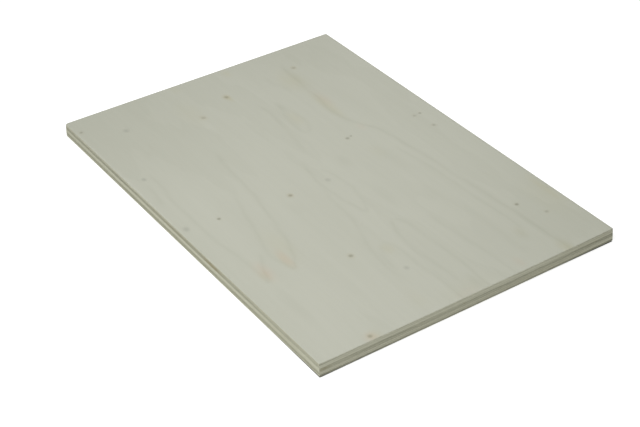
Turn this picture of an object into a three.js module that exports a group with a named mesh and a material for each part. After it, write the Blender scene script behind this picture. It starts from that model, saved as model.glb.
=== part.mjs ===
// Plywood sheet: five veneers, glued one on another with the grain of each across the grain of the
// next, then sawn to size through the whole lay-up and sanded.
// Millimetres. The origin is the middle of the underside. +X runs along the face grain, which is
// the sheet's long side, +Y runs along its short side, and +Z points up.

import * as THREE from "three";
import { ConvexGeometry } from "three/addons/geometries/ConvexGeometry.js";

// The sheet as it is sawn out.
const LENGTH = 600;
const WIDTH = 400;

// Thickness of each kind of veneer once the sheet is pressed and sanded. Together they make 18 mm.
const FACE_VENEER = 2.4;
const CROSSBAND = 4.4;
const CORE_VENEER = 4.4;

// Sanding takes the sharp edge off the two outer veneers, and leaves a small round arris.
const ARRIS_RADIUS = 0.5;
const ARRIS_FACETS = 3;

// Bare wood, sanded and unfinished. Seen at the sawn edges, long grain is pale and end grain is dull.
const FACE_WOOD = new THREE.MeshStandardMaterial({ color: 0xbbbcae, roughness: 0.75, metalness: 0 });
const CROSSBAND_WOOD = new THREE.MeshStandardMaterial({ color: 0xa5a48d, roughness: 0.85, metalness: 0 });
const CORE_WOOD = new THREE.MeshStandardMaterial({ color: 0xb2b29c, roughness: 0.8, metalness: 0 });

// The lay-up in the order it is built, from the underside up. It is balanced about the core, and
// `eased` says which face of an outer veneer is sanded: -1 its lower face, +1 its upper face.
const LAY_UP = [
  { name: "back_veneer", thickness: FACE_VENEER, wood: FACE_WOOD, eased: -1 },
  { name: "lower_crossband", thickness: CROSSBAND, wood: CROSSBAND_WOOD, eased: 0 },
  { name: "core_veneer", thickness: CORE_VENEER, wood: CORE_WOOD, eased: 0 },
  { name: "upper_crossband", thickness: CROSSBAND, wood: CROSSBAND_WOOD, eased: 0 },
  { name: "face_veneer", thickness: FACE_VENEER, wood: FACE_WOOD, eased: 1 },
];

// The four corners of the sheet's outline at height z, drawn in from the sawn edges by `inset`.
function outlineAt(z, inset = 0) {
  const x = LENGTH / 2 - inset;
  const y = WIDTH / 2 - inset;
  return [[-x, -y], [x, -y], [x, y], [-x, y]].map(([cornerX, cornerY]) => {
    return new THREE.Vector3(cornerX, cornerY, z);
  });
}

// Outlines that turn the sawn edge into the sanded face over a quarter round. `side` is +1 where
// the sanded face is at the top of the veneer and -1 where it is at the bottom.
function arrisOutlines(faceZ, side) {
  const outlines = [];
  for (let step = 0; step <= ARRIS_FACETS; step += 1) {
    const turn = (step / ARRIS_FACETS) * (Math.PI / 2);
    const drop = ARRIS_RADIUS * (1 - Math.sin(turn));
    const inset = ARRIS_RADIUS * (1 - Math.cos(turn));
    outlines.push(...outlineAt(faceZ - side * drop, inset));
  }
  return outlines;
}

// One veneer, with its underside at z = 0: square where it is glued, round where it is sanded.
function veneerGeometry({ thickness, eased }) {
  const lower = eased < 0 ? arrisOutlines(0, -1) : outlineAt(0);
  const upper = eased > 0 ? arrisOutlines(thickness, 1) : outlineAt(thickness);
  return new ConvexGeometry([...lower, ...upper]);
}

// Lays the veneers one on another, each resting on the one below.
function buildSheet() {
  const sheet = new THREE.Group();
  let height = 0;
  for (const veneer of LAY_UP) {
    const mesh = new THREE.Mesh(veneerGeometry(veneer), veneer.wood.clone());
    mesh.name = veneer.name;
    mesh.position.z = height;
    sheet.add(mesh);
    height += veneer.thickness;
  }
  return sheet;
}

export default buildSheet();
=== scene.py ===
"""Plywood sheet: five cross-banded veneers of bare, sanded softwood, on a white studio floor.

Lengths are written in millimetres and turned into metres where a piece is made.
+X runs along the face grain, +Y across it and +Z up; the sheet's underside is at z = 0.
"""

import math

import bmesh
import bpy
from mathutils import Matrix, Vector, noise


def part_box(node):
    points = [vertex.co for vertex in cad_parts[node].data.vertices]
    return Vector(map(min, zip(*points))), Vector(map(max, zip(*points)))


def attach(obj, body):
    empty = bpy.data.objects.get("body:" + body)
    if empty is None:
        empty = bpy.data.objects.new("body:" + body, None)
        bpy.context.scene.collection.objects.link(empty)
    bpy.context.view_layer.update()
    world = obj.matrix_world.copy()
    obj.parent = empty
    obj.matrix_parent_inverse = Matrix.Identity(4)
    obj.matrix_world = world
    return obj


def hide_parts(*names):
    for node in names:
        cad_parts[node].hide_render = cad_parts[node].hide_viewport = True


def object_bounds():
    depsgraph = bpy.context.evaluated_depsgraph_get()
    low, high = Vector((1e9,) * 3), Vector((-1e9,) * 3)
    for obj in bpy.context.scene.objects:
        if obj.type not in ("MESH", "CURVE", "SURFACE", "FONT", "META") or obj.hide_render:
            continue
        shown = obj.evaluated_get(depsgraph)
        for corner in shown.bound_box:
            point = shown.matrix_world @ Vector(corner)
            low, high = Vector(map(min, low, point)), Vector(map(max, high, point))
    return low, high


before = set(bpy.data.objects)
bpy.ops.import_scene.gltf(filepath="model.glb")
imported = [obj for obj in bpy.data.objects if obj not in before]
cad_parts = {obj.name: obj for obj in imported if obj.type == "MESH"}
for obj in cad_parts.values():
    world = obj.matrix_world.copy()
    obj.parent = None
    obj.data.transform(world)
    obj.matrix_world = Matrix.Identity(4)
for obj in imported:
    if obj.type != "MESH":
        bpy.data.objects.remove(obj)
cad_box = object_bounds()

MM = 0.001
# The sheet's half length, half width and thickness, from the frame.
HALF_LENGTH, HALF_WIDTH, THICKNESS = (round(size / MM, 3) for size in cad_box[1])

# ---------------------------------------------------------------------------------------------
# Colours, written as they are seen, from 0 to 255.


def paint(red, green, blue):
    """A colour as it is seen, turned into the linear one that a shader takes."""
    linear = []
    for part in (red, green, blue):
        share = part / 255
        linear.append(share / 12.92 if share <= 0.04045 else ((share + 0.055) / 1.055) ** 2.4)
    return (*linear, 1.0)


FACE_PALE = paint(192, 193, 179)
FACE_LATE = paint(156, 158, 139)
RESIN_YELLOW = paint(186, 180, 142)
RESIN_PINK = paint(199, 178, 158)
KNOT_HEART = paint(119, 120, 103)
KNOT_RIM = paint(174, 164, 132)
GREY_MARK = paint(140, 141, 130)
LONG_EDGE = paint(200, 200, 179)
LONG_EDGE_LATE = paint(172, 171, 147)
END_GRAIN = paint(182, 182, 160)
END_GRAIN_LATE = paint(136, 136, 116)
END_GRAIN_BROWN = paint(144, 131, 92)
GLUE = paint(126, 122, 100)
WHITE = (1, 1, 1, 1)
BLACK = (0, 0, 0, 1)

# ---------------------------------------------------------------------------------------------
# The figure of the face veneer. Every line is where the peeling knife crossed a growth ring:
# its course along the face, how dark it is, how wide, and how soon it fades in and out.

RING_LINES = [
    # the long line that runs the whole sheet, and its companions
    (((-270, 100), (-200, 96), (-150, 93.5), (-125, 89), (-100, 91.5), (-75, 97.5), (-50, 110),
      (-35, 114.5), (0, 118), (50, 122.5), (100, 125.5), (170, 130), (220, 133), (300, 136)),
     0.26, 3.2, 30, 1),
    (((-5, 102.5), (10, 105), (40, 109), (70, 111.5), (100, 112.5), (130, 113.5), (160, 115),
      (190, 116), (210, 119), (230, 118), (250, 111)), 0.18, 2.6, 30, 20),
    (((150, 92.5), (200, 94), (250, 94.5), (285, 94)), 0.10, 3.5, 25, 20),
    # a small eye towards the far left
    (((-186, 43), (-165, 44), (-150, 47), (-125, 49.5), (-102, 45), (-86, 36)), 0.14, 3.4, 22, 10),
    (((-186, 43), (-165, 41), (-140, 35.5), (-112, 31.5), (-98, 32.5), (-86, 36)), 0.17, 3.4, 22, 10),
    (((-192, 19), (-175, 22.5), (-160, 24), (-140, 21), (-110, 17.5), (-80, 14), (-45, 7.5)),
     0.16, 3.0, 20, 30),
    (((-252, 69), (-225, 67.5), (-210, 72), (-180, 71)), 0.12, 3.4, 20, 25),
    # the eye in the middle, and the ring that passes under it
    (((-14, 0), (0, 5), (20, 9.5), (45, 11), (70, 6), (95, -0.5), (106, -4)), 0.17, 2.3, 10, 8),
    (((-42, -5.5), (-20, -10), (0, -13.5), (20, -16), (50, -14), (75, -11), (95, -7), (106, -4)),
     0.20, 2.5, 26, 8),
    (((18, -19), (50, -22.5), (80, -25), (105, -26.5), (125, -32.5), (150, -39), (175, -44.5),
      (200, -47.5), (252, -47)), 0.15, 2.8, 30, 50),
    # nested rings that run out over the near short edge
    (((138, 51), (170, 50), (200, 52.5), (230, 56), (255, 58.5), (300, 59)), 0.15, 3.0, 30, 1),
    (((127, 9), (140, 17), (160, 20.5), (185, 21.5), (215, 23.5), (250, 24), (300, 22)),
     0.17, 3.0, 12, 1),
    (((127, 9), (140, 5), (150, 1.5), (165, -2.5), (190, -5), (220, -2.5), (245, 0), (300, 3)),
     0.20, 2.8, 12, 60),
    (((157, -26), (170, -20.5), (190, -18), (220, -16.5), (250, -15), (300, -14)), 0.20, 2.8, 16, 1),
    (((157, -26), (175, -35), (200, -41), (222, -43.5)), 0.12, 3.4, 14, 25),
    # the two flames near the front
    (((-132, -79.5), (-100, -84), (-65, -86.5), (-30, -90), (0, -92.5), (25, -97), (50, -102),
      (80, -106), (100, -112), (125, -120), (137.5, -126.5), (148, -132)), 0.20, 2.8, 35, 5),
    (((-32, -112), (0, -115.5), (25, -122.5), (50, -127.5), (70, -132), (90, -138.5),
      (110, -140.5), (130, -136), (148, -132)), 0.18, 2.8, 30, 5),
    (((92, -146), (110, -154), (125, -160), (140, -165), (153, -168.5)), 0.20, 2.8, 14, 6),
    (((-132, -171.5), (-110, -170), (-80, -172.5), (-50, -175), (-20, -176), (10, -175),
      (50, -174), (80, -171), (115, -168.5), (153, -168.5)), 0.17, 3.0, 22, 6),
    (((-112, -185), (-80, -185), (-48, -192)), 0.14, 3.0, 18, 14),
]
# A ring is darkest in the middle of its line and fades over this many line widths to each side.
RING_FADE = 2.6
RING_STRENGTH = 0.62

# Zones of the face, partly the wood's own tone and partly painted shade and painted highlight: the
# middle of each, its half length and half width, and how dark it is. Where that is below 0, the zone
# is paler than the rest.
TONE_AND_PAINTED_LIGHT_ZONES = [
    (20, 85, 75, 16, 0.10),
    (130, 80, 60, 12, 0.06),
    (-8, 36, 26, 12, 0.10),
    (85, 32, 46, 11, 0.08),
    (245, 110, 20, 10, 0.12),
    (285, 14, 26, 11, 0.12),
    (205, -167, 60, 14, 0.10),
    (-165, 43, 22, 7, 0.07),
    (-110, 126, 130, 30, 0.05),
    (45, -66, 22, 9, 0.06),
    (-180, -56, 34, 8, -0.08),
    # painted shade: the face darker towards its corners and along its sides, as the light falls off,
    # and one small darker patch
    (-300, -200, 300, 260, 0.18),
    (300, 200, 240, 260, 0.16),
    (70, 230, 340, 130, 0.11),
    (-320, 130, 170, 130, 0.10),
    (40, -220, 380, 60, 0.13),
    (-165, -152, 16, 9, 0.05),
    # the rim, darker along the back and the left end, and paler along the front, a painted highlight
    # beside the lit arris
    (60, 200, 900, 4.5, 0.24),
    (-300, 0, 4.5, 700, 0.2),
    (-150, -200, 260, 7, -0.16),
]

# Resin stain, in the same terms.
YELLOW_ZONES = [
    (-214, 92, 48, 26, 0.17),
    (-135, 93, 60, 12, 0.22),
    (-130, 42, 30, 14, 0.14),
    (-226, 0, 15, 7, 0.26),
    (-225, -60, 52, 24, 0.08),
    (0, 80, 24, 14, 0.07),
    (176, -27, 17, 12, 0.17),
    (100, -122, 58, 22, 0.11),
    (127, -132, 28, 9, 0.15),
    (136, -165, 18, 9, 0.17),
    (240, 112, 20, 11, 0.09),
    (298, 135, 30, 12, 0.30),
    (270, -55, 30, 16, 0.08),
    (186, 192, 46, 9, 0.26),
    (205, 180, 70, 26, 0.10),
    (-286, 30, 18, 10, 0.16),
    (-290, -45, 18, 10, 0.13),
    (296, -128, 16, 14, 0.20),
    (290, 0, 30, 60, 0.06),
]
PINK_ZONES = [
    (-150, 98, 40, 12, 0.14),
    (-62, 98, 14, 8, 0.14),
    (122, -130, 30, 9, 0.32),
    (130, -162, 32, 13, 0.30),
    (285, 75, 16, 10, 0.14),
    (296, -4, 16, 20, 0.12),
    (296, -132, 16, 13, 0.26),
]

# Pin knots: where each one is, its radius, how dark its heart is, and the strength of its rim.
PIN_KNOTS = [
    (17.5, -57.5, 2.9, 0.44, 0.40),
    (162.5, -68.5, 3.15, 0.45, 0.28),
    (8.5, -150.0, 2.6, 0.54, 0.14),
    (-231.5, -1.0, 3.6, 0.31, 0.42),
    (-48.5, 68.0, 2.9, 0.47, 0.12),
    (-50.5, 74.5, 1.7, 0.44, 0.10),
    (195.0, 143.5, 2.75, 0.54, 0.16),
    (227.5, 162.0, 2.8, 0.28, 0.12),
    (293.0, -132.0, 2.9, 0.40, 0.33),
    (-43.0, 176.0, 2.3, 0.42, 0.10),
    (-42.0, 167.0, 2.7, 0.25, 0.10),
    (-8.5, 173.0, 2.9, 0.27, 0.11),
    (-244.0, 111.0, 3.0, 0.28, 0.30),
    (-203.5, -51.0, 3.5, 0.23, 0.27),
    (-267.0, -193.0, 2.5, 0.40, 0.14),
]
# Grey marks where a bud or a bruise was sanded through, in the same terms, without a rim.
GREY_MARKS = [
    (-236.0, -145.0, 6.2, 0.34),
    (-120.0, -180.5, 4.8, 0.37),
    (4.0, -191.0, 6.2, 0.37),
    (16.5, -3.5, 5.3, 0.29),
    (218.0, -31.5, 4.9, 0.31),
]
# The place and radius of each, whichever its kind.
KNOT_SPOTS = [row[:3] for row in PIN_KNOTS + GREY_MARKS]
# A knot's heart, and the dish that it lies in, reach this many radii out.
KNOT_REACH = 1.3

# ---------------------------------------------------------------------------------------------
# Recipes for materials.


def sum_rule(operation, reflected=False):
    """An operator of Reading, which adds one Math node."""

    def rule(first, second):
        pair = (second, first) if reflected else (first, second)
        return first.recipe.maths(operation, *pair)

    return rule


class Reading:
    """A value that is read over a surface. Sums are done on it as on a number."""

    def __init__(self, recipe, socket):
        self.recipe = recipe
        self.socket = socket

    __add__ = sum_rule("ADD")
    __radd__ = sum_rule("ADD", reflected=True)
    __sub__ = sum_rule("SUBTRACT")
    __rsub__ = sum_rule("SUBTRACT", reflected=True)
    __mul__ = sum_rule("MULTIPLY")
    __rmul__ = sum_rule("MULTIPLY", reflected=True)
    __truediv__ = sum_rule("DIVIDE")
    __rtruediv__ = sum_rule("DIVIDE", reflected=True)
    __pow__ = sum_rule("POWER")

    def __abs__(self):
        return self.recipe.maths("ABSOLUTE", self)

    def fraction(self):
        return self.recipe.maths("FRACT", self)

    def least(self, other):
        return self.recipe.maths("MINIMUM", self, other)

    def greatest(self, other):
        return self.recipe.maths("MAXIMUM", self, other)

    def rising(self, start, end):
        """0 below start, 1 above end, and a smooth step between them. End may be below start."""
        return self.recipe.add(
            "ShaderNodeMapRange",
            {"interpolation_type": "SMOOTHSTEP"},
            {"Value": self, "From Min": start, "From Max": end, "To Min": 0.0, "To Max": 1.0},
        )


# A Mix node's sockets for colours, by number, because those for numbers have the same names.
MIX_AMOUNT = 0
MIX_FIRST = 6
MIX_SECOND = 7
MIX_RESULT = 2


class Recipe:
    """A node tree that is being put together."""

    def __init__(self, tree):
        self.tree = tree

    def add(self, kind, settings=None, inputs=None, output=0):
        """Makes one node of any kind: its settings first, then what goes into its sockets."""
        node = self.tree.nodes.new(kind)
        for name, value in (settings or {}).items():
            if name == "bends":
                line = node.mapping.curves[0].points
                line[0].location, line[1].location = value[0], value[-1]
                for bend in value[1:-1]:
                    line.new(*bend)
                node.mapping.update()
            else:
                setattr(node, name, value)
        for name, value in (inputs or {}).items():
            self.feed(node.inputs[name], value)
        if node.outputs:
            return Reading(self, node.outputs[output])

    def feed(self, socket, value):
        if isinstance(value, Reading):
            self.tree.links.new(value.socket, socket)
        else:
            socket.default_value = value

    def maths(self, operation, *values):
        return self.add("ShaderNodeMath", {"operation": operation}, dict(enumerate(values)))

    def vector(self, operation, *values, output="Vector"):
        settings = {"operation": operation}
        return self.add("ShaderNodeVectorMath", settings, dict(enumerate(values)), output)

    def mix(self, amount, first, second):
        sockets = {MIX_AMOUNT: amount, MIX_FIRST: first, MIX_SECOND: second}
        return self.add("ShaderNodeMix", {"data_type": "RGBA"}, sockets, MIX_RESULT)

    def split(self, vector):
        parts = self.add("ShaderNodeSeparateXYZ", inputs={0: vector}).socket.node
        return [Reading(self, output) for output in parts.outputs]

    def grain(self, place, lengths, detail=2.0):
        """Noise that changes over the given lengths in millimetres: along, across and in depth."""
        scaled = self.vector("MULTIPLY", place, tuple(1 / length for length in lengths))
        return self.add(
            "ShaderNodeTexNoise", inputs={"Vector": scaled, "Scale": 1.0, "Detail": detail}
        )

    def swing(self, place, lengths, detail=2.0):
        """The same noise, which swings to both sides of 0."""
        return self.grain(place, lengths, detail) - 0.5

    def zone(self, place, x, y, half_length, half_width, start=1.0, end=0.0):
        """1 in the middle of an oval, seen from above, and 0 at its rim."""
        size = (1 / half_length, 1 / half_width, 0)
        local = self.vector("MULTIPLY_ADD", place, size, (-x * size[0], -y * size[1], 0))
        return self.vector("LENGTH", local, output="Value").rising(start, end)

    def zones(self, place, rows):
        """The sum of several ovals, each given by its middle, its half sizes and its strength."""
        return added(self.zone(place, *oval) * strength for *oval, strength in rows)


class Finish(Recipe):
    """The recipe of one material."""

    def __init__(self, name):
        self.material = bpy.data.materials.new(name)
        self.material.use_nodes = True
        super().__init__(self.material.node_tree)
        self.shader = self.tree.nodes["Principled BSDF"]

    def give(self, **inputs):
        """Feeds the shader's sockets, named with _ for a space."""
        for name, value in inputs.items():
            self.feed(self.shader.inputs[name.replace("_", " ")], value)


def added(readings):
    """The sum of several readings, each made and added before the next."""
    total = 0.0
    for reading in readings:
        total = reading + total
    return total


# ---------------------------------------------------------------------------------------------
# Wood. Lengths are those over which a pattern changes: along the grain, across it and in depth.

BROAD_WANDER = (420, 75, 60)
CLOSE_WANDER = (110, 20, 25)
BROAD_STREAK = (160, 6, 4)
FINE_STREAK = (28, 0.7, 0.6)
FLECK = (7, 0.38, 0.4)
PORE = (3, 0.5, 0.35)
RAY = (3, 0.45, 4)
MOTTLE = (20, 9, 3)
PATCH = (60, 110, 30)
STAIN = (30, 14, 5)
KNIFE_CHECK = (5, 2.4, 1.6)
LINE_UNEVENNESS = (40, 6, 6)
LINE_WAVER = (34, 10, 10)
SAW_MARK = (0.9, 0.9, 16)
GLUE_BLOT = (9, 9, 2)
# The finest patterns have this many steps of detail.
FINE_DETAIL = 3.0

# Growth rings lie this far apart, and stray this far from level.
RING_WIDTH = 2.9
BROAD_WANDER_REACH = 11
CLOSE_WANDER_REACH = 2.4
# The figure's lines stray this far. Their strength is the least, plus a share of the rise.
LINE_WAVER_REACH = 5
LINE_LEAST = 0.2
LINE_RISE = 1.6
# Checks left by the knife: how far apart they are, how far they lean, and how far they stray.
KNIFE_CHECK_GAP = 3.1
KNIFE_CHECK_LEAN = 0.7
KNIFE_CHECK_STRAY = 5
# A knot's rim, in knot radii along the grain and across it, and where its heart starts and is full.
RIM_REACH = (2.8, 2.2)
HEART_SHOWS = (KNOT_REACH, 0.3)
# A grey mark is this much longer than it is wide.
MARK_LENGTH = 1.3

# Where each pattern starts to show, and where it shows in full.
LATEWOOD_STARTS = (0.25, 0.9)
LATEWOOD_ENDS = (1.0, 0.93)
FLECK_SHOWS = (0.66, 0.78)
KNIFE_CHECK_LINE = (0.035, 0.0)
KNIFE_CHECK_SHOWS = (0.5, 0.62)
STAIN_SHOWS = (0.64, 0.8)
# A glue line starts to show this far from the seam, and shows in full this close to it.
GLUE_LINE = (0.16, 0.03)
# How squarely a surface looks along the grain to show end grain, and up or down to show the face.
END_ON = (0.35, 0.8)
FLAT_ON = (0.5, 0.9)

# How much each pattern darkens a face, a long edge and an end.
FACE_LEAST_TONE = 0.03
FACE_TONE = {"latewood": 0.05, "broad_streaks": 0.10, "fine_streaks": 0.12, "flecks": 0.12}
PLAIN_FACE_TONE = FACE_TONE | {"latewood": 0.21}
EDGE_TONE = {
    "latewood": 0.5,
    "fine_streaks": 0.5,
    "broad_streaks": 0.3,
    "flecks": 0.2,
    "saw_marks": 0.25,
}
END_TONE = {
    "latewood": 0.5,
    "pores": 0.7,
    "rays": 0.5,
    "mottle": 0.4,
    "patches": 0.6,
    "knife_checks": 0.4,
    "saw_marks": 0.3,
}
STAIN_STRENGTH = 0.35
GLUE_STRENGTH = 0.38
GLUE_EVENNESS = 0.25
# Painted shade on the rounded arris, where the face turns into the sawn edge.
ARRIS_PAINTED_SHADE = 0.9

# How much each pattern raises the surface, or lowers it, as shares of the relief's height.
FIBRE_RELIEF = {"fine_streaks": 0.5, "broad_streaks": 0.3, "flecks": -0.5, "latewood": 0.2}
END_RELIEF = {"pores": 1.2, "rays": 0.4, "knife_checks": -1.5, "latewood": 0.3}
SAW_RELIEF = 0.5
GLUE_RELIEF = 0.8
RELIEF_HEIGHT = 0.06
RELIEF_STRENGTH = 0.6

ROUGHNESS = 0.74
END_ROUGHNESS = 0.12
FIBRE_ROUGHNESS = 0.08
KNOT_SMOOTHNESS = 0.1
SPECULAR_LEVEL = 0.3


def ring_line(wood, position, side, along, course, darkness, width, fade_in, fade_out):
    """One growth ring as it shows on the face: a dark line with a soft skirt.

    Position goes from 0 to 1 along the sheet, and side from 0 to 1 across it.
    """
    bends = [((x / HALF_LENGTH + 1) / 2, (y / HALF_WIDTH + 1) / 2) for x, y in course]
    centre = wood.add(
        "ShaderNodeFloatCurve", {"bends": bends}, {"Factor": 1.0, "Value": position}
    )
    away = abs(side - centre) * (2 * HALF_WIDTH / (width * RING_FADE))
    start, end = course[0][0], course[-1][0]
    presence = along.rising(start, start + fade_in) * along.rising(end, end - fade_out)
    return (1 - away.least(1.0)) ** 2 * presence * (darkness * RING_STRENGTH)


def wood_patterns(wood, sheet, place):
    """The patterns of a peeled veneer by name, both what grew in it and what the tools left."""
    _, across, depth = wood.split(place)
    broad_wander = wood.swing(place, BROAD_WANDER) * BROAD_WANDER_REACH
    wander = broad_wander + wood.swing(place, CLOSE_WANDER) * CLOSE_WANDER_REACH
    ring = ((depth + wander) / RING_WIDTH).fraction()
    mottle = wood.swing(place, MOTTLE)
    slant = across + depth * KNIFE_CHECK_LEAN + mottle * KNIFE_CHECK_STRAY
    check_lines = abs((slant / KNIFE_CHECK_GAP).fraction() - 0.5).rising(*KNIFE_CHECK_LINE)
    return {
        "latewood": ring.rising(*LATEWOOD_STARTS) * ring.rising(*LATEWOOD_ENDS),
        "broad_streaks": wood.swing(place, BROAD_STREAK),
        "fine_streaks": wood.swing(place, FINE_STREAK, FINE_DETAIL),
        "flecks": wood.grain(place, FLECK).rising(*FLECK_SHOWS),
        "pores": wood.swing(place, PORE, FINE_DETAIL),
        "rays": wood.swing(place, RAY),
        "mottle": mottle,
        "patches": wood.swing(place, PATCH),
        "knife_checks": check_lines * wood.grain(place, KNIFE_CHECK).rising(*KNIFE_CHECK_SHOWS),
        "saw_marks": wood.swing(sheet, SAW_MARK),
    }


def weighed(patterns, weights):
    """The sum of the named patterns, each times its weight."""
    return added(patterns[name] * weight for name, weight in weights.items())


def plain_face(wood, patterns):
    """The colour of a sanded face without figure or knots."""
    return wood.mix(weighed(patterns, PLAIN_FACE_TONE) + FACE_LEAST_TONE, FACE_PALE, FACE_LATE)


def figured_face(wood, sheet, place, patterns):
    """The sheet's best face: its colour, and how far its knots lie below it."""
    along, across, _ = wood.split(place)
    uneven = wood.grain(place, LINE_UNEVENNESS) * LINE_RISE + LINE_LEAST
    waver = wood.swing(place, LINE_WAVER) * LINE_WAVER_REACH
    position = (along / HALF_LENGTH + 1) / 2
    side = ((across + waver) / HALF_WIDTH + 1) / 2
    lines = added(ring_line(wood, position, side, along, *row) for row in RING_LINES)
    tone = weighed(patterns, FACE_TONE) + FACE_LEAST_TONE + wood.zones(sheet, TONE_AND_PAINTED_LIGHT_ZONES)
    tone = tone + lines * uneven
    colour = wood.mix(wood.zones(sheet, YELLOW_ZONES) * uneven, FACE_PALE, RESIN_YELLOW)
    colour = wood.mix(wood.zones(sheet, PINK_ZONES) * uneven, colour, RESIN_PINK)
    colour = wood.mix(tone, colour, FACE_LATE)

    rim_length, rim_width = RIM_REACH
    rims = [(x, y, r * rim_length, r * rim_width, rim) for x, y, r, _, rim in PIN_KNOTS]
    marks = [(x, y, r * MARK_LENGTH, r, dark) for x, y, r, dark in GREY_MARKS]
    colour = wood.mix(wood.zones(sheet, rims), colour, KNOT_RIM)
    colour = wood.mix(wood.zones(sheet, marks), colour, GREY_MARK)
    hearts = added(
        wood.zone(sheet, x, y, r, r, *HEART_SHOWS) * dark for x, y, r, dark, _ in PIN_KNOTS
    )
    return wood.mix(hearts, colour, KNOT_HEART), hearts


def sawn_edges(wood, sheet, place, patterns, ply, end_on):
    """The colour of the sawn edges: long grain along the fibre, and end grain across it."""
    # The drift darkens and pales the edges, partly as the wood's own tone and partly as painted shade
    # and painted light.
    drift = wood.zones(sheet, ply["tone_and_light_drift"])
    edge_colour = wood.mix(weighed(patterns, EDGE_TONE) + drift, LONG_EDGE, LONG_EDGE_LATE)

    height = wood.split(sheet)[2]
    end_tone = weighed(patterns, END_TONE) + ply["end_shade"] + drift
    end_tone = end_tone - added(height.rising(*rise) * pale for *rise, pale in ply["end_bands"])
    end_pale = LONG_EDGE if ply["pale_ends"] else END_GRAIN
    stain = wood.grain(place, STAIN).rising(*STAIN_SHOWS) * STAIN_STRENGTH
    stain = stain + wood.zones(sheet, ply["end_stains"])
    end_colour = wood.mix(end_tone, end_pale, END_GRAIN_LATE)
    return wood.mix(end_on, edge_colour, wood.mix(stain, end_colour, END_GRAIN_BROWN))


def veneer_finish(name, ply, grain_turn, seams, figured):
    """Bare sanded softwood, as one veneer shows it on its face, its long edges and its ends."""
    wood = Finish(name)
    # Where a point is on the sheet, and where in the log the veneer's pattern is read for it.
    spot = wood.add("ShaderNodeTexCoord", output="Object")
    sheet = wood.vector("MULTIPLY", spot, (1 / MM, 1 / MM, 1 / MM))
    place = wood.add(
        "ShaderNodeMapping",
        {"vector_type": "POINT"},
        {"Vector": sheet, "Location": ply["log_place"], "Rotation": (0, 0, grain_turn)},
    )
    patterns = wood_patterns(wood, sheet, place)

    # Which way the surface looks: along the grain is end grain, up or down is the face.
    normal = wood.add("ShaderNodeTexCoord", output="Normal")
    grain_axis = (abs(math.cos(grain_turn)), abs(math.sin(grain_turn)), 0)
    end_on = abs(wood.vector("DOT_PRODUCT", normal, grain_axis, output="Value")).rising(*END_ON)
    flat_on = abs(wood.split(normal)[2]).rising(*FLAT_ON)

    # Glue, seen where two veneers meet at a sawn edge.
    height = wood.split(sheet)[2]
    seam = added(abs(height - level).rising(*GLUE_LINE) for level in seams)
    glue = seam * (wood.grain(place, GLUE_BLOT) + GLUE_EVENNESS) * (1 - flat_on)

    if figured:
        face_colour, sunk = figured_face(wood, sheet, place, patterns)
    else:
        face_colour, sunk = plain_face(wood, patterns), 0.0
    side_colour = sawn_edges(wood, sheet, place, patterns, ply, end_on)
    side_colour = wood.mix(glue * GLUE_STRENGTH, side_colour, GLUE)
    colour = wood.mix(flat_on, side_colour, face_colour)
    # Painted shade on the arris: it is darkened towards the late wood's colour.
    colour = wood.mix(flat_on * (1 - flat_on) * ARRIS_PAINTED_SHADE, colour, FACE_LATE)

    fibre = weighed(patterns, FIBRE_RELIEF) * (1 - end_on) + weighed(patterns, END_RELIEF) * end_on
    sawn = patterns["saw_marks"] * (1 - flat_on) * SAW_RELIEF
    relief = wood.add(
        "ShaderNodeBump",
        inputs={
            "Strength": RELIEF_STRENGTH,
            "Distance": RELIEF_HEIGHT * MM,
            "Height": fibre + sawn - glue * GLUE_RELIEF - sunk,
        },
    )
    roughness = end_on * END_ROUGHNESS + patterns["fine_streaks"] * FIBRE_ROUGHNESS + ROUGHNESS
    wood.give(
        Base_Color=colour,
        Roughness=roughness - sunk * KNOT_SMOOTHNESS,
        Specular_IOR_Level=SPECULAR_LEVEL,
        Normal=relief,
    )
    return wood.material


# ---------------------------------------------------------------------------------------------
# The veneers themselves. The plate of each is cut into cells, with a narrow border along its rim.

CELL = 12.0
BORDER = 1.0
WALL_STEP = 0.8
GLUE_LIP = 0.2
FACE_ARRIS = 0.9
BACK_ARRIS = 0.4
ARRIS_SEGMENTS = 6
# The border is split where it runs on for more than this, into this many steps and one.
LONG_RUN = 3.0
EDGE_STEPS = 9
BORDER_MARGIN = 0.1
# Cells beside a knot are split in the same way, unless they are slim border cells.
KNOT_STEPS = 11
SLIM_CELL = 2.0
LEVEL = 0.99
SHARP_ANGLE = 40
# Points this close together, in metres, lie on the same plane.
TOUCH = 1e-6
CUT_TOLERANCE = 1e-7

# Relief of the sawn walls: how deep it is, and how often it changes in a millimetre, by x, y and z.
WALL_DEPTH = 0.05
WALL_RELIEF = 0.05
END_GRAIN_DEPTH = 0.03
GLUE_GROOVE = 0.1
LONG_GRAIN_CHANGES = (0.05, 0.05, 1.1)
END_GRAIN_CHANGES = (0.55, 0.55, 0.9)

# A pin knot's dish, and its harder heart, which stands up again over this share of the radius.
DISH_DEPTH = 0.12
HEART_LIFT = 0.07
HEART_SHARE = 0.6

# The end at +X is cupped by this much, over this length.
CUP = 1.1
CUP_LENGTH = 160.0

# How far the four upright corners are worn back at the sheet's upper face, by their signs, how far
# round the wear reaches, and how much less it is across the sheet.
CORNER_WEAR = {(-1, -1): 1.6, (-1, 1): 0.6, (1, -1): 0.4, (1, 1): 0.4}
CORNER_REACH = 5.0
CORNER_ACROSS = 0.5


def cut(plate, across_axis, position):
    """One straight cut through the whole plate, square to an axis."""
    place = Vector((0, 0, 0))
    place[across_axis] = position
    direction = Vector((0, 0, 0))
    direction[across_axis] = 1
    bmesh.ops.bisect_plane(
        plate,
        geom=plate.verts[:] + plate.edges[:] + plate.faces[:],
        dist=CUT_TOLERANCE,
        plane_co=place,
        plane_no=direction,
    )


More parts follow.
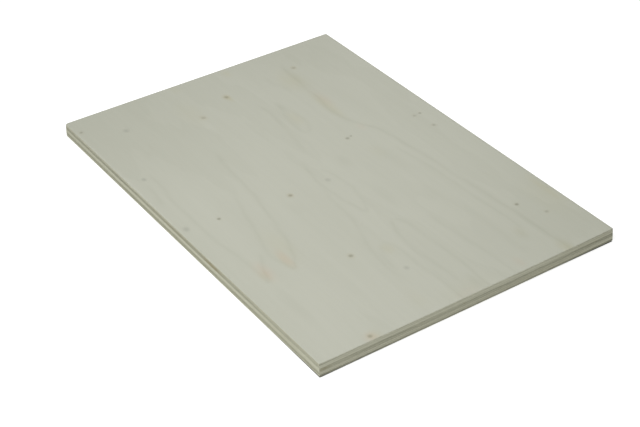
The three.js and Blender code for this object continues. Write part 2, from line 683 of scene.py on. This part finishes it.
def evenly(low, high, step, margin):
    """Cuts a margin in from each end, and about a step apart between them."""
    inner_low, inner_high = low + margin, high - margin
    count = max(1, round((inner_high - inner_low) / step))
    return [inner_low + (inner_high - inner_low) * i / count for i in range(count + 1)]


def plain_plate(low, high):
    """A plain plate between two corners of a box."""
    plate = bmesh.new()
    bmesh.ops.create_cube(plate, size=1.0)
    bmesh.ops.scale(plate, vec=high - low, verts=plate.verts)
    bmesh.ops.translate(plate, vec=(low + high) / 2, verts=plate.verts)
    return plate


def ease_arris(plate, surface, arris):
    """Rounds the rim of a sanded face."""
    rim = [edge for edge in plate.edges if all(abs(v.co.z - surface) < TOUCH for v in edge.verts)]
    bmesh.ops.bevel(
        plate,
        geom=rim,
        offset=arris * MM,
        offset_type="OFFSET",
        affect="EDGES",
        segments=ARRIS_SEGMENTS,
        profile=0.5,
        material=-1,
    )


def cut_into_cells(plate, low, high, wall, arris):
    """Cuts the plate into cells with a narrow border, and its sawn walls into short steps."""
    for axis in (0, 1):
        for position in evenly(low[axis], high[axis], CELL * MM, (BORDER + arris) * MM):
            cut(plate, axis, position)
    for height in evenly(*wall, WALL_STEP * MM, GLUE_LIP * MM):
        cut(plate, 2, height)


def veneer(name, node, finish, grain_along_x, eased):
    """A veneer as it lies in the sheet. Its sawn edges are relieved inwards, never outwards."""
    low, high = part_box(node)
    surface = high.z if eased > 0 else low.z
    arris = FACE_ARRIS if eased > 0 else BACK_ARRIS
    wall_low = low.z + (arris * MM if eased < 0 else 0)
    wall_high = high.z - (arris * MM if eased > 0 else 0)
    wall = (wall_low, wall_high)
    plate = plain_plate(low, high)
    if eased:
        ease_arris(plate, surface, arris)
    cut_into_cells(plate, low, high, wall, arris)
    if eased > 0:
        refine_knots(plate, surface)
    refine_border(plate, low, high)
    many_sided = [face for face in plate.faces if len(face.verts) > 4]
    bmesh.ops.triangulate(plate, faces=many_sided, quad_method="BEAUTY", ngon_method="BEAUTY")
    relieve_edges(plate, low, high, wall, grain_along_x, eased)
    if eased > 0:
        sink_knots(plate, surface)
    wear_corners(plate)
    cup_near_end(plate)

    mesh = bpy.data.meshes.new(name)
    plate.to_mesh(mesh)
    plate.free()
    mesh.shade_smooth()
    mesh.set_sharp_from_angle(angle=math.radians(SHARP_ANGLE))
    mesh.materials.append(finish)
    piece = bpy.data.objects.new(name, mesh)
    bpy.context.scene.collection.objects.link(piece)
    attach(piece, "root")
    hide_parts(node)
    return piece


def beside_knot(xs, ys):
    """Whether a cell with its corners at these places is within reach of a knot."""
    for x, y, r in KNOT_SPOTS:
        reach = KNOT_REACH * r
        beside_x = min(xs) - reach < x < max(xs) + reach
        beside_y = min(ys) - reach < y < max(ys) + reach
        if beside_x and beside_y:
            return True
    return False


def refine_knots(plate, surface):
    """Splits the face into short steps round each knot, so that it can take the knot's dish."""
    cells = []
    for face in plate.faces:
        if face.normal.z < LEVEL or abs(face.calc_center_median().z - surface) > TOUCH:
            continue
        xs = [v.co.x / MM for v in face.verts]
        ys = [v.co.y / MM for v in face.verts]
        slim = min(max(xs) - min(xs), max(ys) - min(ys)) < SLIM_CELL
        if beside_knot(xs, ys) and not slim:
            cells.append(face)
    edges = list(dict.fromkeys(edge for face in cells for edge in face.edges))
    bmesh.ops.subdivide_edges(plate, edges=edges, cuts=KNOT_STEPS, use_grid_fill=True)


def refine_border(plate, low, high):
    """Splits what runs along the rim into short steps, so that the sawn edge can take relief."""
    reach = (BORDER + FACE_ARRIS + BORDER_MARGIN) * MM
    long_edges = []
    for edge in plate.edges:
        first, second = (v.co for v in edge.verts)
        middle, run = (first + second) / 2, second - first
        if run.length < LONG_RUN * MM:
            continue
        near_y = min(middle.y - low.y, high.y - middle.y) < reach
        near_x = min(middle.x - low.x, high.x - middle.x) < reach
        if (near_y and abs(run.x) > abs(run.y)) or (near_x and abs(run.y) > abs(run.x)):
            long_edges.append(edge)
    bmesh.ops.subdivide_edges(plate, edges=long_edges, cuts=EDGE_STEPS, use_grid_fill=True)


def relieve_edges(plate, low, high, wall, grain_along_x, eased):
    """Gives each sawn wall its shallow relief, and a fine groove at each glue line."""
    wall_low, wall_high = wall
    for vert in plate.verts:
        place = vert.co.copy()
        if not wall_low - TOUCH <= place.z <= wall_high + TOUCH:
            continue
        at_arris = (eased > 0 and abs(place.z - wall_high) < TOUCH) or (
            eased < 0 and abs(place.z - wall_low) < TOUCH
        )
        at_glue = not at_arris and min(place.z - wall_low, wall_high - place.z) < TOUCH
        for axis in (0, 1):
            side = 0
            if place[axis] - low[axis] < TOUCH:
                side = 1
            elif high[axis] - place[axis] < TOUCH:
                side = -1
            if not side or at_arris:
                continue
            end_grain = (axis == 0) == grain_along_x
            changes = END_GRAIN_CHANGES if end_grain else LONG_GRAIN_CHANGES
            spot = Vector(place[i] / MM * changes[i] for i in range(3))
            depth = WALL_DEPTH + WALL_RELIEF * noise.noise(spot)
            if end_grain:
                depth += END_GRAIN_DEPTH
            if at_glue:
                depth += GLUE_GROOVE
            vert.co[axis] = place[axis] + side * depth * MM


def sink_knots(plate, surface):
    """Shallow dishes where sanding has worn the pin knots and the grey marks."""
    for vert in plate.verts:
        if abs(vert.co.z - surface) > TOUCH:
            continue
        for x, y, r in KNOT_SPOTS:
            away = math.hypot(vert.co.x / MM - x, vert.co.y / MM - y) / r
            if away < KNOT_REACH:
                dish = DISH_DEPTH * (math.cos(away / KNOT_REACH * math.pi) + 1) / 2
                lift = HEART_LIFT * max(0.0, 1 - away / HEART_SHARE)
                vert.co.z -= (dish - lift) * MM


def wear_corners(plate):
    """The upright corners are knocked back a little, most of all at the upper face."""
    for vert in plate.verts:
        x, y, z = vert.co / MM
        along, across = math.copysign(1, x), math.copysign(1, y)
        away = math.hypot(HALF_LENGTH - abs(x), HALF_WIDTH - abs(y)) / CORNER_REACH
        if away < 1:
            height = z / THICKNESS
            wear = CORNER_WEAR[along, across] * (1 - away) ** 2 * height * height
            vert.co.x -= along * wear * MM
            vert.co.y -= across * wear * CORNER_ACROSS * MM


def cup_near_end(plate):
    """The end at +X is a little cupped. It stays inside the flat sheet's box.

    At the corners the underside rises from the floor, and in the middle the upper face sinks.
    """
    start = HALF_LENGTH - CUP_LENGTH
    for vert in plate.verts:
        x, y, z = vert.co / MM
        end = min(max((x - start) / CUP_LENGTH, 0), 1)
        side = abs(y) / HALF_WIDTH
        vert.co.z += CUP * MM * end * end * (3 - 2 * end) * (side * side - z / THICKNESS)


QUARTER_TURN = math.pi / 2
# From the underside up. `sanded` says which side of an outer veneer is sanded, and `log_place`
# where in the log its pattern is read. The drift of tone along its sawn edges is partly the wood's
# own tone and partly painted shade and painted light; it and the stains of its end grain are written
# as the face's zones are. `pale_ends` says that its end grain is as pale as a long edge, and
# `end_shade` how dark all of it is. Each of `end_bands` gives the height where a paler band of it
# starts, the height where the band is full, and how much paler it is.
LAY_UP = [
    # Back veneer: its long edge and its ends are darker, partly its own end grain and partly painted
    # shade where they meet the floor.
    {
        "node": "back_veneer",
        "slot": "face_wood",
        "grain_along_x": True,
        "sanded": -1,
        "log_place": (900, 340, 71.3),
        "pale_ends": False,
        "end_shade": 0.30,
        "tone_and_light_drift": [(0, -200, 600, 30, 0.5), (300, 200, 60, 90, 0.3), (300, 201, 9, 4, 0.3)],
        "end_bands": [],
        "end_stains": [],
    },
    {
        "node": "lower_crossband",
        "slot": "crossband_wood",
        "grain_along_x": False,
        "sanded": 0,
        "log_place": (310, -720, 33.9),
        "pale_ends": False,
        "end_shade": 0.15,
        "tone_and_light_drift": [
            (300, 0, 60, 300, 0.2),
            (300, 90, 60, 140, 0.2),
            (0, -200, 320, 30, 0.1),
            (300, 201, 9, 4, 0.3),
        ],
        "end_bands": [(5.2, 6.4, 0.7)],
        "end_stains": [],
    },
    {
        "node": "core_veneer",
        "slot": "core_wood",
        "grain_along_x": True,
        "sanded": 0,
        "log_place": (-840, 150, 57.2),
        "pale_ends": False,
        "end_shade": 0.02,
        "tone_and_light_drift": [
            (300, 200, 60, 220, 0.30),
            (300, -200, 160, 30, 0.25),
            (300, -200, 60, 60, -0.35),
            (-60, -200, 260, 30, -0.25),
            (300, 201, 9, 4, 0.5),
        ],
        "end_bands": [(9.5, 7.5, 0.25)],
        "end_stains": [(300, -194, 12, 12, 0.30)],
    },
    {
        "node": "upper_crossband",
        "slot": "crossband_wood",
        "grain_along_x": False,
        "sanded": 0,
        "log_place": (140, 980, 18.4),
        "pale_ends": False,
        "end_shade": 0.15,
        "tone_and_light_drift": [
            (300, 200, 60, 160, 0.25),
            (300, -200, 200, 30, -0.3),
            (-60, -200, 180, 30, 0.12),
            (300, 201, 9, 4, 0.7),
        ],
        "end_bands": [],
        "end_stains": [(80, -200, 32, 10, 0.55), (0, -200, 90, 10, 0.15)],
    },
    {
        "node": "face_veneer",
        "slot": "face_wood",
        "grain_along_x": True,
        "sanded": 1,
        "log_place": (0, 0, 0),
        # Its end grain is painted as pale as a long edge: painted light, as the top of the end
        # catches the light the face does.
        "pale_ends": True,
        "end_shade": -0.15,
        "tone_and_light_drift": [
            (300, 200, 60, 160, 0.35),
            (260, -200, 560, 30, 0.55),
            (300, 201, 9, 4, 0.7),
        ],
        "end_bands": [],
        "end_stains": [],
    },
]

for ply in LAY_UP:
    low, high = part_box(ply["node"])
    eased = ply["sanded"]
    seams = []
    if eased >= 0:
        seams.append(low.z / MM)
    if eased <= 0:
        seams.append(high.z / MM)
    piece_name = ply["node"] + "_sheet"
    grain_turn = 0.0 if ply["grain_along_x"] else QUARTER_TURN
    finish = veneer_finish(piece_name + "_wood", ply, grain_turn, seams, figured=eased > 0)
    veneer(piece_name, ply["node"], finish, ply["grain_along_x"], eased)

# ---------------------------------------------------------------------------------------------
# Floor, light and camera, in metres.

FLOOR_RADIUS = 6.0
FLOOR_SIDES = 96
FLOOR_GAP = 0.1 * MM
# The floor's own paint, as it throws light back and as it shows, and its glow beside the sheet.
FLOOR_PAINT = (0.85, 0.85, 0.85, 1)
FLOOR_SEEN = (0.9, 0.9, 0.9, 1)
NEAR_GLOW = (0.5, 0.5, 0.5, 1)
# It turns as white as the surround between these distances from the sheet's middle.
FLOOR_FADE = (0.45, 0.9)
# Under the sheet it is painted black, a painted shadow. The painted shadow ends this far inside the
# sheet's ends and sides.
PAINTED_SHADOW_INSET_AT_ENDS = 0.45 * MM
PAINTED_SHADOW_INSET_AT_SIDES = 0.4 * MM
# It fades out between these distances from there.
PAINTED_SHADOW_FADE = (-0.6 * MM, 0.5 * MM)
# It reaches the very rim of the ends as y passes these places, and goes this much further out on
# the sides, beside the raised corners.
PAINTED_SHADOW_AT_RIM = (0.1, 0.2)
PAINTED_SHADOW_BESIDE_CORNERS = 0.36 * MM

AIR_STRENGTH = 0.402
# Soft boxes, which face the sheet's middle: the place of each, its size and its power in watts.
SOFT_BOXES = {
    "key_soft_box": ((0.32, -0.82, 1.2), 0.6, 9.6),
    "fill_soft_box": ((-0.19, 0.34, 1.0), 0.4, 2.4),
}

# Where the camera stands and where it looks, its roll in degrees, its lens and sensor in
# millimetres, and how far the picture is shifted, as a share of its width.
CAMERA_PLACE = Vector((1.3691, -0.8255, 1.0467))
CAMERA_AIM = Vector((0.1295, 0.0262, 0.018))
CAMERA_ROLL = -1.663
CAMERA_LENS = 88.12
CAMERA_SENSOR = 36
CAMERA_SHIFT_X = -0.1291


def background_ray(recipe):
    """1 where a ray shows the background as such, to the eye or in gloss and glass."""
    path = recipe.add("ShaderNodeLightPath").socket.node
    kinds = ("Is Camera Ray", "Is Glossy Ray", "Is Transmission Ray")
    return added(Reading(recipe, path.outputs[kind]) for kind in kinds).least(1.0)


def studio_floor():
    """A white floor. It stays white to the eye, keeps the sheet's shadow, is painted black under the
    sheet as a painted shadow, and throws a soft light.
    """
    disc = bmesh.new()
    bmesh.ops.create_circle(disc, cap_ends=True, segments=FLOOR_SIDES, radius=FLOOR_RADIUS)
    bmesh.ops.translate(disc, vec=(0, 0, -FLOOR_GAP), verts=disc.verts)
    mesh = bpy.data.meshes.new("studio_floor")
    disc.to_mesh(mesh)
    disc.free()
    floor = bpy.data.objects.new("studio_floor", mesh)
    bpy.context.scene.collection.objects.link(floor)

    white = Finish("studio_floor_white")
    seen = background_ray(white)
    spot = white.add("ShaderNodeTexCoord", output="Object")
    far = white.vector("LENGTH", spot, output="Value").rising(*FLOOR_FADE)
    x, y, _ = white.split(spot)
    # Painted shadow: the floor shows black under the sheet, and a little further out beside its
    # raised corners.
    clear_of_ends = abs(x) - (HALF_LENGTH * MM - PAINTED_SHADOW_INSET_AT_ENDS)
    clear_of_ends = clear_of_ends - y.rising(*PAINTED_SHADOW_AT_RIM) * PAINTED_SHADOW_INSET_AT_ENDS
    raised = x.rising((HALF_LENGTH - CUP_LENGTH) * MM, HALF_LENGTH * MM)
    clear_of_sides = abs(y) - (HALF_WIDTH * MM - PAINTED_SHADOW_INSET_AT_SIDES)
    clear_of_sides = clear_of_sides - raised * PAINTED_SHADOW_BESIDE_CORNERS
    outside_painted_shadow = clear_of_ends.greatest(clear_of_sides).rising(*PAINTED_SHADOW_FADE)
    lit = white.mix(seen, FLOOR_PAINT, FLOOR_SEEN)
    glow = white.mix(far, NEAR_GLOW, WHITE)
    ground = white.mix(far * seen, lit, BLACK)
    white.give(
        Base_Color=white.mix((1 - outside_painted_shadow) * seen, ground, BLACK),
        Roughness=1.0,
        Specular_IOR_Level=0.0,
        Emission_Color=white.mix(seen * outside_painted_shadow, BLACK, glow),
        Emission_Strength=1.0,
    )
    mesh.materials.append(white.material)


def studio_air():
    """An even white surround: white to the eye, and a soft light from every side."""
    world = bpy.data.worlds.new("studio_air")
    world.use_nodes = True
    world.node_tree.nodes.clear()
    air = Recipe(world.node_tree)
    seen = background_ray(air)
    soft = air.add("ShaderNodeBackground", inputs={"Color": WHITE, "Strength": AIR_STRENGTH})
    plain = air.add("ShaderNodeBackground", inputs={"Color": WHITE, "Strength": 1.0})
    surround = air.add("ShaderNodeMixShader", inputs={0: seen, 1: soft, 2: plain})
    air.add("ShaderNodeOutputWorld", inputs={"Surface": surround})
    bpy.context.scene.world = world


def soft_box(name, place, size, power):
    """A square lamp that faces the sheet's middle."""
    lamp = bpy.data.lights.new(name, "AREA")
    lamp.shape = "SQUARE"
    lamp.size = size
    lamp.energy = power
    box = bpy.data.objects.new(name, lamp)
    box.location = place
    box.rotation_euler = (-Vector(place)).to_track_quat("-Z", "Y").to_euler()
    box.visible_camera = False
    bpy.context.scene.collection.objects.link(box)


def studio_camera():
    """The camera, which looks down on the sheet over its near corner."""
    lens = bpy.data.cameras.new("camera")
    lens.sensor_width = CAMERA_SENSOR
    lens.lens = CAMERA_LENS
    lens.shift_x = CAMERA_SHIFT_X
    camera = bpy.data.objects.new("camera", lens)
    look = (CAMERA_AIM - CAMERA_PLACE).to_track_quat("-Z", "Y").to_matrix().to_4x4()
    roll = Matrix.Rotation(math.radians(CAMERA_ROLL), 4, "Z")
    camera.matrix_world = Matrix.Translation(CAMERA_PLACE) @ look @ roll
    bpy.context.scene.collection.objects.link(camera)
    bpy.context.scene.camera = camera


studio_floor()
studio_air()
for name, settings in SOFT_BOXES.items():
    soft_box(name, *settings)
studio_camera()
bpy.context.scene.view_settings.view_transform = "Standard"
